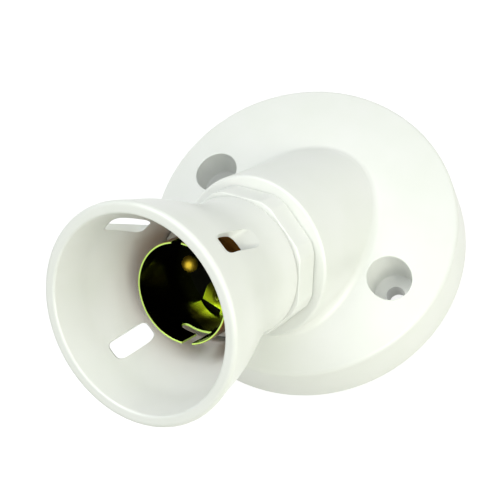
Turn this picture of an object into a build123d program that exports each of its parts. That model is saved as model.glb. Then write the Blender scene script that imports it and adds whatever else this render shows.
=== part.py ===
"""Angled batten lampholder: a round base, a spout at 45 degrees and a bayonet socket inside a skirt.

The back of the base lies on z = 0 and faces -Z. The spout leans towards -Y. Lengths are in
millimetres. Along the spout, a distance is counted from the point where its axis meets z = 0.
"""
import math
import os

from build123d import *

# Base and its two fixing holes
base_back_r = 36.7
base_draft = 0.4
base_edge_height = 12.8
base_dome_rise = 6.4
base_edge_round = 1.2
shell_wall = 2.6
fixing_centres = 50.8
fixing_hole_r = 2.15
counterbore_r = 5.05
counterbore_floor = 5.1
boss_wall = 2.2

# Spout, with the nose that carries the ring and the skirt
spout_tilt = 45
spout_axis_y = 11.55
spout_foot_r = 17.9
spout_end_r = 19.1
spout_length = 37.7
spout_end_round = 2.0
spout_foot_round = 2.4
nose_r = 14.25
nose_length = 16.6
nose_chamfer = 0.6
web_thickness = 3.0
web_offset = 2.8

# Shade ring
ring_r = 16.95
ring_apothem = 16.2
ring_flat_count = 8
ring_corner_angle = 39.4
ring_height = 6.0
ring_chamfer = 0.3
ring_relief = 0.6

# Skirt
skirt_neck_r = 16.05
skirt_neck_length = 4.0
skirt_length = 37.6
skirt_mouth_r = 25.3
skirt_mouth_bore_r = 22.3
skirt_rim_length = 9.9
skirt_rim_slope = 0.237
skirt_thread_length = 11.2
skirt_bell_r = 21.2
skirt_bell_length = 9.5
skirt_bell_slope = 0.147
skirt_throat_slope = 0.28
skirt_edge_round = 0.8
slot_count = 4
slot_first_angle = 65.5
slot_width = 4.8
slot_floor_r = 16.9
slot_end_r = 21.0
slot_end_length = 10.4
slot_ramp_angle = 45

# Bayonet sleeve
sleeve_r = 11.7
sleeve_wall = 0.5
sleeve_length = 18.4
jslot_width = 2.65
jslot_entry_angle = -64.2
jslot_turn_angle = 24.0
jslot_depth = 8.0
jslot_leg_width = 2.4
lug_half_width = 3.8
lug_edge_out = 10.1
lug_neck_width = 2.4
rivet_radius_out = 7.4

# Contact insert, barrels, plungers and springs
insert_disc_height = 4.0
insert_front_wall = 2.0
stem_wall = 1.25
contact_offset = 6.4
barrel_r = 3.3
barrel_wall = 0.7
barrel_tail = 12.0
barrel_web = 3.0
plunger_r = 1.9
plunger_reach = 8.5
plunger_collar = 1.6
plunger_travel = 4.0
spring_closed_length = 8.8
spring_wall = 0.6

# Rivets, terminals and screws
rivet_r = 1.2
rivet_bore_r = 0.7
rivet_flange_r = 1.7
rivet_flange = 0.4
wire_hole_r = 1.5
screw_r = 1.2
screw_head_r = 2.2
screw_head = 1.8
screw_slot_width = 0.6
screw_slot_depth = 0.7
earth_tab = 0.8
earth_block_width = 7.0
earth_block_height = 7.0
earth_drop = 3.2
loop_block_length = 14.0
loop_block_width = 7.0
loop_block_height = 7.0
loop_block_inset = 10.4
loop_screw_spacing = 7.6
pocket_wall = 1.5
pocket_mouth_z = 4.6

# Clearances
thread_clearance = 0.15
seat_gap = 0.3
bore_clearance = 0.15
running_clearance = 0.08
fit_clearance = 0.05

# Planes and places that follow from the sizes above
lean = math.radians(spout_tilt)
spout = Plane(
    origin=(0, spout_axis_y, 0), x_dir=(1, 0, 0), z_dir=(0, -math.sin(lean), math.cos(lean))
)
base_front_r = base_back_r - base_draft
base_apex = base_edge_height + base_dome_rise
web_front = spout_length + web_offset + web_thickness
web_back = spout_length + web_offset
nose_end = spout_length + nose_length
nose_bore_r = sleeve_r + bore_clearance
socket_floor = web_front + insert_disc_height
ring_start = spout_length + seat_gap
skirt_start = ring_start + ring_height + seat_gap
skirt_mouth = skirt_start + skirt_length
thread_bore_r = nose_r + thread_clearance
loop_block_y = base_back_r - loop_block_inset
barrel_front = socket_floor - insert_front_wall
barrel_bore_r = barrel_r - barrel_wall
collar_r = barrel_bore_r - running_clearance
collar_front = barrel_front - fit_clearance
collar_back = collar_front - plunger_collar
stem_back = collar_back - plunger_travel - spring_closed_length
barrel_back = stem_back - barrel_tail
plunger_tip = socket_floor + plunger_reach
stem_half_width = barrel_r + stem_wall
stem_half_length = contact_offset + stem_half_width


def spout_section(x=0.0, y=0.0):
    """Section plane of a turned piece: x runs outwards, y runs along the spout's direction."""
    origin = spout.from_local_coords((x, y, 0))
    return Plane(origin=origin, x_dir=spout.x_dir, z_dir=-spout.y_dir)


def spout_line(x=0.0, y=0.0):
    """Line along the spout's direction through a point of its cross-section."""
    return Axis(spout.from_local_coords((x, y, 0)), spout.z_dir)


def radial_plane(angle):
    """Plane through the spout's axis: x runs outwards at the angle, y runs along the axis."""
    turn = math.radians(angle)
    outwards = spout.x_dir * math.cos(turn) + spout.y_dir * math.sin(turn)
    return Plane(origin=spout.origin, x_dir=outwards, z_dir=outwards.cross(spout.z_dir))


def pan_profile(back_r, front_r, edge_height, corner):
    """Half section of a round pan with a domed top, to be turned about Z."""
    with BuildSketch(Plane.XZ) as profile:
        with BuildLine():
            crown = TangentArc((0, edge_height + base_dome_rise), (front_r, edge_height), tangent=(1, 0))
            Polyline(crown @ 1, (back_r, 0), (0, 0), crown @ 0)
        make_face()
        fillet(profile.vertices().sort_by(Axis.X)[-2], corner)
    return profile.sketch


def clamp_screw(seat, shank_length):
    """Cheese-head clamp screw on a plane: the head stands up from it, the shank goes down."""
    with BuildPart() as screw:
        with BuildSketch(seat):
            Circle(screw_head_r)
        extrude(amount=screw_head)
        with BuildSketch(seat):
            Circle(screw_r)
        extrude(amount=-shank_length)
        with BuildSketch(seat.offset(screw_head - screw_slot_depth)):
            Rectangle(2 * screw_head_r, screw_slot_width)
        extrude(amount=screw_slot_depth, mode=Mode.SUBTRACT)
    return screw


def keep(piece, name):
    """Label a finished piece and write it to its own file."""
    piece.part.label = name
    export_step(piece.part, f"parts/{name}.step")


os.makedirs("parts", exist_ok=True)

# Angled body: base, spout and nose in one moulding, hollow from behind
with BuildPart() as angled_body:
    pan = pan_profile(base_back_r, base_front_r, base_edge_height, base_edge_round)
    revolve(pan, axis=Axis.Z)
    with BuildSketch(spout_section()) as spout_profile:
        with BuildLine():
            Polyline(
                (0, 0),
                (spout_foot_r, 0),
                (spout_end_r, spout_length),
                (0, spout_length),
                close=True,
            )
        make_face()
        fillet(spout_profile.vertices().sort_by(Axis.X)[-1], spout_end_round)
    revolve(axis=spout_line())
    split(bisect_by=Plane.XY, keep=Keep.TOP)
    spout_foot = angled_body.edges().filter_by(GeomType.BSPLINE).sort_by(SortBy.LENGTH)[-1]
    fillet(spout_foot, spout_foot_round)

    # Room for the shade ring to turn in front of the spout
    with BuildSketch(spout.offset(spout_length)):
        Circle(ring_r + ring_relief)
    extrude(amount=ring_height + 2 * seat_gap, mode=Mode.SUBTRACT)

    # Nose
    with BuildSketch(spout.offset(spout_length - shell_wall)):
        Circle(nose_r)
    extrude(amount=nose_length + shell_wall)
    chamfer(angled_body.edges().filter_by(GeomType.CIRCLE).sort_by(spout_line())[-1], nose_chamfer)

    # Hollow base and spout
    hollow = pan_profile(
        base_back_r - shell_wall,
        base_front_r - shell_wall,
        base_edge_height - shell_wall,
        base_edge_round,
    )
    revolve(hollow, axis=Axis.Z, mode=Mode.SUBTRACT)
    with BuildSketch(spout_section()):
        with BuildLine():
            Polyline(
                (0, 0),
                (spout_foot_r - shell_wall, 0),
                (spout_end_r - shell_wall, spout_length - shell_wall),
                (nose_bore_r, spout_length - shell_wall),
                (nose_bore_r, web_back),
                (0, web_back),
                close=True,
            )
        make_face()
    revolve(axis=spout_line(), mode=Mode.SUBTRACT)

    # Bore for the sleeve, and the web that carries the insert
    with BuildSketch(spout.offset(web_front)):
        Circle(nose_bore_r)
    extrude(amount=nose_end - web_front, mode=Mode.SUBTRACT)
    with BuildSketch(spout.offset(web_back)):
        SlotOverall(
            2 * (stem_half_length + bore_clearance), 2 * (stem_half_width + bore_clearance)
        )
        with GridLocations(0, 2 * rivet_radius_out, 1, 2):
            Circle(rivet_r + fit_clearance)
    extrude(amount=web_thickness, mode=Mode.SUBTRACT)

    # Fixing bosses and the block of the loop terminal's pocket, which end inside the front wall
    with BuildPart(mode=Mode.PRIVATE) as blocks:
        with BuildSketch(Plane.XY):
            with GridLocations(fixing_centres, 0, 2, 1):
                Circle(counterbore_r + boss_wall)
        extrude(amount=base_apex)
        with BuildSketch(Plane.XY.offset(pocket_mouth_z)):
            with Locations((0, loop_block_y)):
                Rectangle(
                    loop_block_length + 2 * (fit_clearance + pocket_wall),
                    loop_block_width + 2 * (fit_clearance + pocket_wall),
                )
        extrude(amount=base_apex - pocket_mouth_z)
        mid_wall = pan_profile(
            base_back_r - shell_wall / 2,
            base_front_r - shell_wall / 2,
            base_edge_height - shell_wall / 2,
            base_edge_round,
        )
        revolve(mid_wall, axis=Axis.Z, mode=Mode.INTERSECT)
    add(blocks.part)

    # Counterbored fixing holes
    with Locations(Plane.XY.offset(base_apex)):
        with GridLocations(fixing_centres, 0, 2, 1):
            CounterBoreHole(fixing_hole_r, counterbore_r, base_apex - counterbore_floor, base_apex)

    # Pocket for the loop terminal, open towards the back
    with BuildSketch(Plane.XY.offset(pocket_mouth_z)):
        with Locations((0, loop_block_y)):
            Rectangle(loop_block_length + 2 * fit_clearance, loop_block_width + 2 * fit_clearance)
    extrude(amount=loop_block_height, mode=Mode.SUBTRACT)
    with BuildSketch(Plane.XY.offset(pocket_mouth_z)):
        with Locations((0, loop_block_y)):
            Rectangle(loop_block_length + 2 * (fit_clearance + pocket_wall), 2 * wire_hole_r)
    extrude(amount=loop_block_height / 2 + wire_hole_r, mode=Mode.SUBTRACT)
keep(angled_body, "angled_body")

# Shade ring with narrow corners between its flats
with BuildPart() as shade_ring:
    with BuildSketch(spout.offset(ring_start)):
        RegularPolygon(ring_apothem, ring_flat_count, major_radius=False, rotation=ring_corner_angle)
        Circle(ring_r, mode=Mode.INTERSECT)
        Circle(thread_bore_r, mode=Mode.SUBTRACT)
    extrude(amount=ring_height)
    ring_ends = shade_ring.faces().sort_by(spout_line())
    chamfer(ring_ends[0].outer_wire().edges() + ring_ends[-1].outer_wire().edges(), ring_chamfer)
keep(shade_ring, "shade_ring")

# Flared skirt
skirt_flare_start = skirt_start + skirt_neck_length
skirt_rim_start = skirt_mouth - skirt_rim_length
skirt_rim_r = skirt_mouth_r - skirt_rim_slope * skirt_rim_length
skirt_bell_start = skirt_mouth - skirt_bell_length
skirt_throat = skirt_start + skirt_thread_length


def flare(start, start_slope, end, end_slope):
    """Smooth flare between two points of the skirt's section, with a slope given at each end."""
    third = (end[1] - start[1]) / 3
    Bezier(
        start,
        (start[0] + start_slope * third, start[1] + third),
        (end[0] - end_slope * third, end[1] - third),
        end,
    )


with BuildPart() as skirt:
    with BuildSketch(spout_section()) as skirt_profile:
        with BuildLine():
            Line((skirt_neck_r, skirt_start), (skirt_neck_r, skirt_flare_start))
            flare(
                (skirt_neck_r, skirt_flare_start), 0,
                (skirt_rim_r, skirt_rim_start), skirt_rim_slope,
            )
            Polyline(
                (skirt_rim_r, skirt_rim_start),
                (skirt_mouth_r, skirt_mouth),
                (skirt_mouth_bore_r, skirt_mouth),
                (skirt_bell_r, skirt_bell_start),
            )
            flare(
                (thread_bore_r, skirt_throat), skirt_throat_slope,
                (skirt_bell_r, skirt_bell_start), skirt_bell_slope,
            )
            Polyline(
                (thread_bore_r, skirt_throat),
                (thread_bore_r, skirt_start),
                (skirt_neck_r, skirt_start),
            )
        make_face()
        fillet(skirt_profile.vertices().sort_by(Axis.Y)[-2:], skirt_edge_round)
    revolve(axis=spout_line())
    # Slots drawn along the axis, each with a sloping front end
    slot_top_r = skirt_mouth_r + skirt_edge_round
    ramp = math.tan(math.radians(slot_ramp_angle))
    slot_front = skirt_mouth - slot_end_length - (slot_end_r - slot_floor_r) / ramp
    for slot in range(slot_count):
        with BuildSketch(radial_plane(slot_first_angle + slot * 360 / slot_count)):
            with BuildLine():
                Polyline(
                    (slot_floor_r, skirt_start),
                    (slot_floor_r, slot_front),
                    (slot_top_r, slot_front + (slot_top_r - slot_floor_r) / ramp),
                    (slot_top_r, skirt_start),
                    close=True,
                )
            make_face()
        extrude(amount=slot_width / 2, both=True, mode=Mode.SUBTRACT)
keep(skirt, "skirt")

# Bayonet sleeve with two J-slots and two lugs
sleeve_bore_r = sleeve_r - sleeve_wall
sleeve_front = socket_floor + sleeve_length
jslot_leg = sleeve_front - jslot_depth + jslot_leg_width / 2
with BuildPart() as bayonet_sleeve:
    with BuildSketch(spout.offset(socket_floor)):
        Circle(sleeve_r)
        Circle(sleeve_bore_r, mode=Mode.SUBTRACT)
    extrude(amount=sleeve_length)
    with BuildSketch(spout.offset(socket_floor)):
        with GridLocations(0, 2 * rivet_radius_out, 1, 2):
            Circle(lug_half_width)
        with GridLocations(0, lug_edge_out + rivet_radius_out, 1, 2):
            Rectangle(2 * lug_half_width, lug_edge_out - rivet_radius_out)
        Rectangle(2 * lug_half_width, 2 * lug_edge_out, mode=Mode.INTERSECT)
        # A neck at one corner joins each lug to the wall
        with PolarLocations(0, 2):
            with Locations((lug_half_width - lug_neck_width / 2, -lug_edge_out)):
                Rectangle(lug_neck_width, 2 * (sleeve_r - lug_edge_out))
        Circle(sleeve_r, mode=Mode.INTERSECT)
        with GridLocations(0, 2 * rivet_radius_out, 1, 2):
            Circle(rivet_r + fit_clearance, mode=Mode.SUBTRACT)
    extrude(amount=sleeve_wall)
    for side in (0, 180):
        entry = radial_plane(jslot_entry_angle + side)
        with BuildSketch(entry):
            with Locations((sleeve_r, sleeve_front - jslot_depth / 2)):
                Rectangle(4 * sleeve_wall, jslot_depth)
        extrude(amount=jslot_width / 2, both=True, mode=Mode.SUBTRACT)
        with BuildSketch(entry):
            with Locations((sleeve_r, jslot_leg)):
                Rectangle(4 * sleeve_wall, jslot_leg_width)
        revolve(axis=spout_line(), revolution_arc=-jslot_turn_angle, mode=Mode.SUBTRACT)
        rest = radial_plane(jslot_entry_angle + side - jslot_turn_angle)
        with BuildSketch(Plane(rest.from_local_coords((0, jslot_leg, 0)), z_dir=rest.x_dir)):
            Circle(jslot_leg_width / 2)
        extrude(amount=2 * sleeve_r, mode=Mode.SUBTRACT)
keep(bayonet_sleeve, "bayonet_sleeve")

# Contact insert: a disc on the web, with a stem that holds the barrels
with BuildPart() as contact_insert:
    with BuildSketch(spout.offset(web_front)):
        Circle(sleeve_r)
    extrude(amount=insert_disc_height)
    with BuildSketch(spout.offset(stem_back)):
        SlotOverall(2 * stem_half_length, 2 * stem_half_width)
    extrude(amount=web_front - stem_back)
    with BuildSketch(spout.offset(stem_back)):
        with GridLocations(2 * contact_offset, 0, 2, 1):
            Circle(barrel_r + fit_clearance)
    extrude(amount=barrel_front - stem_back, mode=Mode.SUBTRACT)
    with BuildSketch(spout.offset(barrel_front)):
        with GridLocations(2 * contact_offset, 0, 2, 1):
            Circle(plunger_r + running_clearance)
    extrude(amount=insert_front_wall, mode=Mode.SUBTRACT)
    with BuildSketch(spout.offset(web_front)):
        with GridLocations(0, 2 * rivet_radius_out, 1, 2):
            Circle(rivet_r + fit_clearance)
    extrude(amount=insert_disc_height, mode=Mode.SUBTRACT)
keep(contact_insert, "contact_insert")

# Live and neutral contacts
wire_screw = barrel_back + (barrel_tail - barrel_web) / 2
for name, side in (("live", 1), ("neutral", -1)):
    contact_x = side * contact_offset
    contact = Plane(spout.from_local_coords((contact_x, 0, 0)), spout.x_dir, spout.z_dir)
    screw_seat = Plane(
        spout.from_local_coords((contact_x, -barrel_r - fit_clearance, wire_screw)),
        x_dir=spout.x_dir,
        z_dir=-spout.y_dir,
    )
    with BuildPart() as contact_barrel:
        with BuildSketch(contact.offset(barrel_back)):
            Circle(barrel_r)
        extrude(amount=barrel_front - barrel_back)
        with BuildSketch(contact.offset(stem_back)):
            Circle(barrel_bore_r)
        extrude(amount=barrel_front - stem_back, mode=Mode.SUBTRACT)
        with BuildSketch(contact.offset(barrel_back)):
            Circle(wire_hole_r)
        extrude(amount=barrel_tail - barrel_web, mode=Mode.SUBTRACT)
        with BuildSketch(screw_seat):
            Circle(screw_r + fit_clearance)
        extrude(amount=-barrel_r, mode=Mode.SUBTRACT)
    keep(contact_barrel, f"contact_barrel_{name}")

    terminal_screw = clamp_screw(screw_seat, barrel_r - wire_hole_r + screw_r)
    keep(terminal_screw, f"terminal_screw_{name}")

    with BuildPart() as plunger:
        with BuildSketch(spout_section(contact_x)):
            with BuildLine():
                dome = TangentArc(
                    (plunger_r, plunger_tip - plunger_r), (0, plunger_tip), tangent=(0, 1)
                )
                Polyline(
                    dome @ 1,
                    (0, collar_back),
                    (collar_r, collar_back),
                    (collar_r, collar_front),
                    (plunger_r, collar_front),
                    dome @ 0,
                )
            make_face()
        revolve(axis=spout_line(contact_x))
    keep(plunger, f"plunger_{name}")

    with BuildPart() as plunger_spring:
        with BuildSketch(contact.offset(stem_back)):
            Circle(collar_r)
            Circle(collar_r - spring_wall, mode=Mode.SUBTRACT)
        extrude(amount=collar_back - stem_back)
    keep(plunger_spring, f"plunger_spring_{name}")

# Hollow rivets through the lugs, the insert and the web
lug_front = socket_floor + sleeve_wall
for name, side, tail in (("lower", -1, web_back - earth_tab), ("upper", 1, web_back)):
    centre = spout_section(0, side * rivet_radius_out)
    with BuildPart() as lug_rivet:
        with BuildSketch(centre):
            with BuildLine():
                Polyline(
                    (rivet_bore_r, tail - rivet_flange),
                    (rivet_flange_r, tail - rivet_flange),
                    (rivet_flange_r, tail),
                    (rivet_r, tail),
                    (rivet_r, lug_front),
                    (rivet_flange_r, lug_front),
                    (rivet_flange_r, lug_front + rivet_flange),
                    (rivet_bore_r, lug_front + rivet_flange),
                    close=True,
                )
            make_face()
        revolve(axis=spout_line(0, side * rivet_radius_out))
    keep(lug_rivet, f"lug_rivet_{name}")

# Earth terminal: a tab under the lower rivet, a leg and a clamp block
tab_back = web_back - earth_tab
block_front = tab_back - earth_drop
block_back = block_front - earth_block_height
block_inner = -stem_half_width - seat_gap
leg_inner = -rivet_radius_out - rivet_flange_r - bore_clearance
block_outer = leg_inner - earth_tab
block_depth = block_inner - block_outer
block_middle = (block_inner + block_outer) / 2
with BuildPart() as earth_terminal:
    with BuildSketch(spout.offset(tab_back)):
        with Locations((0, block_middle)):
            Rectangle(earth_block_width, block_depth)
        with Locations((0, -rivet_radius_out)):
            Circle(rivet_r + fit_clearance, mode=Mode.SUBTRACT)
    extrude(amount=earth_tab)
    with BuildSketch(spout.offset(block_front)):
        with Locations((0, leg_inner - earth_tab / 2)):
            Rectangle(earth_block_width, earth_tab)
    extrude(amount=earth_drop)
    with BuildSketch(spout.offset(block_back)):
        with Locations((0, block_middle)):
            Rectangle(earth_block_width, block_depth)
            Circle(wire_hole_r, mode=Mode.SUBTRACT)
    extrude(amount=earth_block_height)
    earth_seat = Plane(
        spout.from_local_coords((0, block_outer, block_back + earth_block_height / 2)),
        x_dir=spout.x_dir,
        z_dir=-spout.y_dir,
    )
    with BuildSketch(earth_seat):
        Circle(screw_r + fit_clearance)
    extrude(amount=-block_depth / 2, mode=Mode.SUBTRACT)
keep(earth_terminal, "earth_terminal")

earth_screw = clamp_screw(earth_seat, block_depth / 2 - wire_hole_r + screw_r)
keep(earth_screw, "earth_screw")

# Loop terminal in its pocket, with two screws that face the back
loop_seat = Plane(origin=(0, loop_block_y, pocket_mouth_z), x_dir=(1, 0, 0), z_dir=(0, 0, -1))
with BuildPart() as loop_terminal:
    with BuildSketch(loop_seat):
        Rectangle(loop_block_length, loop_block_width)
        with GridLocations(loop_screw_spacing, 0, 2, 1):
            Circle(screw_r + fit_clearance, mode=Mode.SUBTRACT)
    extrude(amount=-loop_block_height)
    wire_way = Plane(
        origin=(-loop_block_length / 2, loop_block_y, pocket_mouth_z + loop_block_height / 2),
        x_dir=(0, 1, 0),
        z_dir=(1, 0, 0),
    )
    with BuildSketch(wire_way):
        Circle(wire_hole_r)
    extrude(amount=loop_block_length, mode=Mode.SUBTRACT)
keep(loop_terminal, "loop_terminal")

for name, side in (("left", -1), ("right", 1)):
    place = Plane(loop_seat.from_local_coords((side * loop_screw_spacing / 2, 0, 0)), (1, 0, 0), (0, 0, -1))
    loop_screw = clamp_screw(place, loop_block_height / 2)
    keep(loop_screw, f"loop_screw_{name}")
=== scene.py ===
"""Dress the angled batten lampholder: smooth white mouldings, brass socket parts and a plain studio.

Sizes in the classes are millimetres. The back of the base lies on z = 0, the spout leans towards -Y,
and a distance along the spout counts from the point where its axis meets z = 0.
"""
import logging
import math
from collections.abc import Iterator, Mapping, Sequence
from contextlib import contextmanager
from dataclasses import dataclass, field
from enum import Enum

import bmesh
import bpy
from mathutils import Matrix, Vector

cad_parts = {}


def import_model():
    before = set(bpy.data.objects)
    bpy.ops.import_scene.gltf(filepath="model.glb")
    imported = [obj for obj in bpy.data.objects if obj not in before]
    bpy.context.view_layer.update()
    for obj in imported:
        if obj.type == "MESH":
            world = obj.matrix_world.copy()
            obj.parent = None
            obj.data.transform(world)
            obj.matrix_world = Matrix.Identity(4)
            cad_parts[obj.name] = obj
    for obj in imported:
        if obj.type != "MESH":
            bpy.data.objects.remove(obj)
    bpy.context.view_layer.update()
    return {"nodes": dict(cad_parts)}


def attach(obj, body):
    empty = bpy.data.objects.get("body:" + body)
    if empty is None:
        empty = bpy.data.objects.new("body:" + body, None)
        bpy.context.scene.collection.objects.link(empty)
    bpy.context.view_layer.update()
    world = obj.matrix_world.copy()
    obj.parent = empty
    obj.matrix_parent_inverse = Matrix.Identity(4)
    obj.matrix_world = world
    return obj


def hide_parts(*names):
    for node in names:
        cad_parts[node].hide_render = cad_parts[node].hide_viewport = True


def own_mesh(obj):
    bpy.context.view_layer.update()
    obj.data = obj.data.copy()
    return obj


LOG = logging.getLogger("lampholder")
MM = 0.001
TINY = 1e-6
SAME_PLACE = 1e-5
WELD = 0.001
SLIT_SIDES = 12
OVERCUT = 1.0
QUARTER = math.pi / 2
NOISE_MIDDLE = (0.3, 0.7)
STAIN_STOPS = (0.36, 0.58)
EDGE_LEVELS = (0.88, 0.995)

Point = tuple[float, float]
Corner = tuple[float, float, float]
Colour = tuple[float, float, float, float]
Item = bpy.types.Object
Mesh = bpy.types.Mesh
Material = bpy.types.Material
Node = bpy.types.Node
Socket = bpy.types.NodeSocket
Tree = bpy.types.NodeTree


class Joining(Enum):
    """How one solid is combined with another."""

    ADD = "UNION"
    CUT = "DIFFERENCE"
    COMMON = "INTERSECT"


class Slot(Enum):
    """Material slots of the record that the pieces take their finish from."""

    WHITE = "white_moulding"
    BRASS = "brass"
    SPRING = "spring_steel"
    PLATED = "plated_steel"


# Sizes that several pieces share


@dataclass(frozen=True)
class Layout:
    """Sizes and places along the spout that the sub-assemblies share."""

    foot_y: float = 11.55
    tilt: float = 45.0
    spout_length: float = 37.7
    shell_wall: float = 2.6
    nose_r: float = 14.25
    nose_length: float = 16.6
    web_offset: float = 2.8
    web_thickness: float = 3.0
    seat_gap: float = 0.3
    ring_height: float = 6.0
    thread_clearance: float = 0.15
    sleeve_r: float = 11.7
    sleeve_wall: float = 0.5
    bore_clearance: float = 0.15
    disc_height: float = 4.0
    front_wall: float = 2.0
    rivet_out: float = 7.4
    contact_offset: float = 6.4
    collar_length: float = 1.6
    collar_r: float = 2.52
    travel: float = 4.0
    closed_length: float = 8.8
    fit: float = 0.05

    @property
    def spout(self) -> Matrix:
        """Matrix from the spout's axes to the part's axes, in millimetres."""
        lean = math.radians(self.tilt)
        along = Vector((0, -math.sin(lean), math.cos(lean)))
        across = Vector((1, 0, 0))
        turn = Matrix((across, along.cross(across), along)).transposed()
        return Matrix.Translation((0, self.foot_y, 0)) @ turn.to_4x4()

    @property
    def upright(self) -> Corner:
        """Turn that stands the spout's axis upright."""
        return (-math.radians(self.tilt), 0.0, 0.0)

    @property
    def ring_start(self) -> float:
        """Back of the shade ring along the spout."""
        return self.spout_length + self.seat_gap

    @property
    def skirt_start(self) -> float:
        """Back of the skirt along the spout."""
        return self.ring_start + self.ring_height + self.seat_gap

    @property
    def thread_r(self) -> float:
        """Radius of the threaded bores of the ring and the skirt."""
        return self.nose_r + self.thread_clearance

    @property
    def web_back(self) -> float:
        """Back of the web that carries the insert."""
        return self.spout_length + self.web_offset

    @property
    def web_front(self) -> float:
        """Front of the web that carries the insert."""
        return self.web_back + self.web_thickness

    @property
    def floor(self) -> float:
        """Floor of the lamp socket along the spout."""
        return self.web_front + self.disc_height

    @property
    def nose_end(self) -> float:
        """Front of the nose along the spout."""
        return self.spout_length + self.nose_length

    @property
    def nose_bore_r(self) -> float:
        """Radius of the bore that takes the sleeve."""
        return self.sleeve_r + self.bore_clearance

    @property
    def collar_front(self) -> float:
        """Front of a plunger's collar."""
        return self.floor - self.front_wall - self.fit

    @property
    def collar_back(self) -> float:
        """Back of a plunger's collar."""
        return self.collar_front - self.collar_length

    @property
    def spring_back(self) -> float:
        """Back end of a plunger's spring."""
        return self.collar_back - self.travel - self.closed_length


# Colour and node helpers


def linear(code: str) -> Colour:
    """Turn an sRGB hex code into a linear colour.

    Args:
        code: Six hex digits after a hash sign.

    Returns:
        Linear red, green, blue and an alpha of one.
    """
    channels = []
    for start in (1, 3, 5):
        value = int(code[start:start + 2], 16) / 255
        channels.append(value / 12.92 if value <= 0.04045 else ((value + 0.055) / 1.055) ** 2.4)
    return (*channels, 1.0)


def per_metre(size: float) -> float:
    """Texture scale that gives a feature of this size in millimetres."""
    return 1 / (size * MM)


def add_node(
    tree: Tree,
    kind: str,
    settings: Mapping[str, object] | None = None,
    inputs: Mapping[str | int, object] | None = None,
) -> Node:
    """Add one node with its settings, its socket values and its links.

    Args:
        tree: Node tree that gets the node.
        kind: Type name of the node.
        settings: Properties of the node by name.
        inputs: A value or another node's output for each input, by name or place.

    Returns:
        The new node.
    """
    node = tree.nodes.new(kind)
    for name, value in (settings or {}).items():
        setattr(node, name, value)
    for key, value in (inputs or {}).items():
        if isinstance(value, Socket):
            tree.links.new(value, node.inputs[key])
        else:
            node.inputs[key].default_value = value
    return node


def noise(tree: Tree, vector: Socket, scale: float, detail: float) -> Socket:
    """Noise value at a place of a texture.

    Args:
        tree: Node tree that gets the node.
        vector: Place in the texture.
        scale: Scale of the texture.
        detail: Octaves of finer noise.

    Returns:
        The value.
    """
    inputs = {"Vector": vector, "Scale": scale, "Detail": detail}
    return add_node(tree, "ShaderNodeTexNoise", inputs=inputs).outputs["Fac"]


def spread(tree: Tree, value: Socket, source: Point, target: Point = (0.0, 1.0)) -> Socket:
    """Map one range of a value to another and hold it at the ends.

    Args:
        tree: Node tree that gets the node.
        value: Value to map.
        source: Both ends of its range.
        target: What the two ends become.

    Returns:
        The new value.
    """
    inputs = {"Value": value, "From Min": source[0], "From Max": source[1],
              "To Min": target[0], "To Max": target[1]}
    return add_node(tree, "ShaderNodeMapRange", inputs=inputs).outputs["Result"]


def tinted(tree: Tree, value: Socket, stops: Point, tones: tuple[str, str]) -> Socket:
    """Colour ramp between two tones.

    Args:
        tree: Node tree that gets the node.
        value: Value that picks the tone.
        stops: Places of the first and the last stop.
        tones: Hex codes at the two stops.

    Returns:
        The colour.
    """
    node = add_node(tree, "ShaderNodeValToRGB", inputs={"Fac": value})
    for element, place, tone in zip(node.color_ramp.elements, stops, tones):
        element.position = place
        element.color = linear(tone)
    return node.outputs["Color"]


def blend(tree: Tree, share: Socket, first: Socket | Colour, second: Socket | Colour) -> Socket:
    """Mix two colours.

    Args:
        tree: Node tree that gets the node.
        share: Share of the second colour.
        first: Colour at a share of zero.
        second: Colour at a share of one.

    Returns:
        The mixed colour.
    """
    inputs = {"Factor": share, 6: first, 7: second}
    return add_node(tree, "ShaderNodeMix", {"data_type": "RGBA"}, inputs).outputs[2]


def vector_step(tree: Tree, operation: str, *values: Socket | Corner) -> Node:
    """One step of vector arithmetic on sockets or plain vectors."""
    return add_node(tree, "ShaderNodeVectorMath", {"operation": operation}, dict(enumerate(values)))


def soft_normal(tree: Tree, radius: float, samples: int) -> Socket:
    """Normal that is rounded off at edges, within a radius in millimetres."""
    node = add_node(tree, "ShaderNodeBevel", {"samples": samples}, {"Radius": radius * MM})
    return node.outputs["Normal"]


def bumped(tree: Tree, height: Socket, depth: float, strength: float, normal: Socket | None) -> Socket:
    """Normal that is roughened by a height.

    Args:
        tree: Node tree that gets the node.
        height: Height between zero and one.
        depth: Depth of the full height in millimetres.
        strength: How strongly it shows.
        normal: Normal that is roughened, if it isn't the mesh's own.

    Returns:
        The normal.
    """
    inputs = {"Height": height, "Distance": depth * MM, "Strength": strength}
    if normal is not None:
        inputs["Normal"] = normal
    return add_node(tree, "ShaderNodeBump", inputs=inputs).outputs["Normal"]


def along_spout(tree: Tree, layout: Layout, place: Socket) -> Socket:
    """Place in the spout's own axes, counted from its foot."""
    from_foot = vector_step(tree, "SUBTRACT", place, (0.0, layout.foot_y * MM, 0.0))
    inputs = {"Vector": from_foot.outputs["Vector"], "Rotation": layout.upright}
    return add_node(tree, "ShaderNodeMapping", inputs=inputs).outputs["Vector"]


def height_of(tree: Tree, vector: Socket) -> Socket:
    """Third part of a vector."""
    return add_node(tree, "ShaderNodeSeparateXYZ", inputs={"Vector": vector}).outputs["Z"]


def blank_material(name: str) -> tuple[Material, Tree]:
    """Start a node material with an empty tree.

    Args:
        name: Name of the real material.

    Returns:
        The material and its node tree.
    """
    material = bpy.data.materials.new(name)
    material.use_nodes = True
    material.node_tree.nodes.clear()
    return material, material.node_tree


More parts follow.
